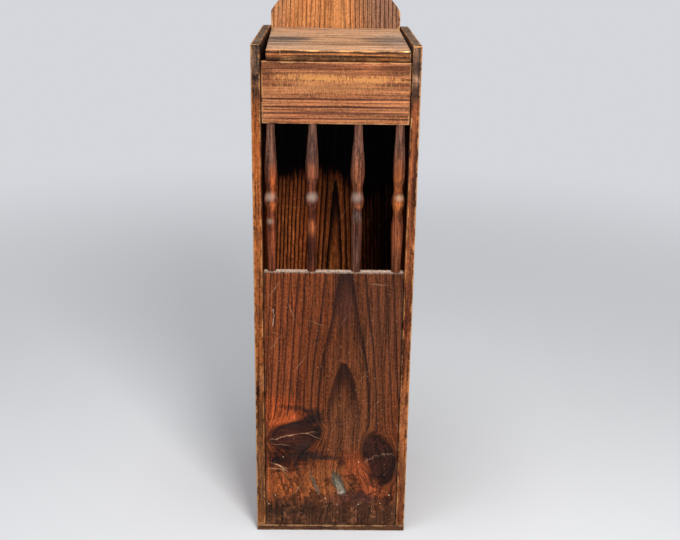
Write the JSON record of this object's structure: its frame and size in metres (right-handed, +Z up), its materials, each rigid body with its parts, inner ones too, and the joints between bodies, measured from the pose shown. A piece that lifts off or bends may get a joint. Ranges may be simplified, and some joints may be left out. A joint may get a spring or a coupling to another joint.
{
  "type": "bread box",
  "caption": "Tall wooden box for long loaves, with a hinged lid, a row of turned spindles across its front and an arched back with a hanging hole.",
  "frame": {"origin": "middle of the base, on the surface that the box stands on", "axes": "+Z up along the box's height, front towards -Y, +X to the right as seen from the front"},
  "size_m": [0.2, 0.2362, 0.7179],
  "materials": {
    "side_wood": "stained pine, waxed and worn",
    "back_wood": "stained pine, waxed",
    "base_wood": "dark stained pine, worn",
    "panel_wood": "dark stained pine, waxed",
    "header_wood": "dark stained pine, waxed",
    "lid_wood": "stained pine, worn matte",
    "spindle_wood": "dark stained, polished by hands",
    "nail_iron": "dark aged iron"
  },
  "bodies": {
    "carcass": {"left_side": "side_wood", "right_side": "side_wood", "back_board": "back_wood", "base_board": "base_wood", "front_panel": "panel_wood", "header_board": "header_wood", "spindle_1": "spindle_wood", "spindle_2": "spindle_wood", "spindle_3": "spindle_wood", "spindle_4": "spindle_wood", "left_pivot_pin": "nail_iron", "right_pivot_pin": "nail_iron", "left_header_nails": "nail_iron", "right_header_nails": "nail_iron", "left_panel_nails": "nail_iron", "right_panel_nails": "nail_iron", "left_back_nails": "nail_iron", "right_back_nails": "nail_iron", "base_nails": "nail_iron"},
    "lid": {"lid": "lid_wood"}
  },
  "joints": [
    {"name": "lid_hinge", "type": "hinge", "parent": "carcass", "child": "lid", "pos_m": [0, 0.0961, 0.64174], "axis": [-1, 0, 0], "range_deg": [0, 93]}
  ]
}
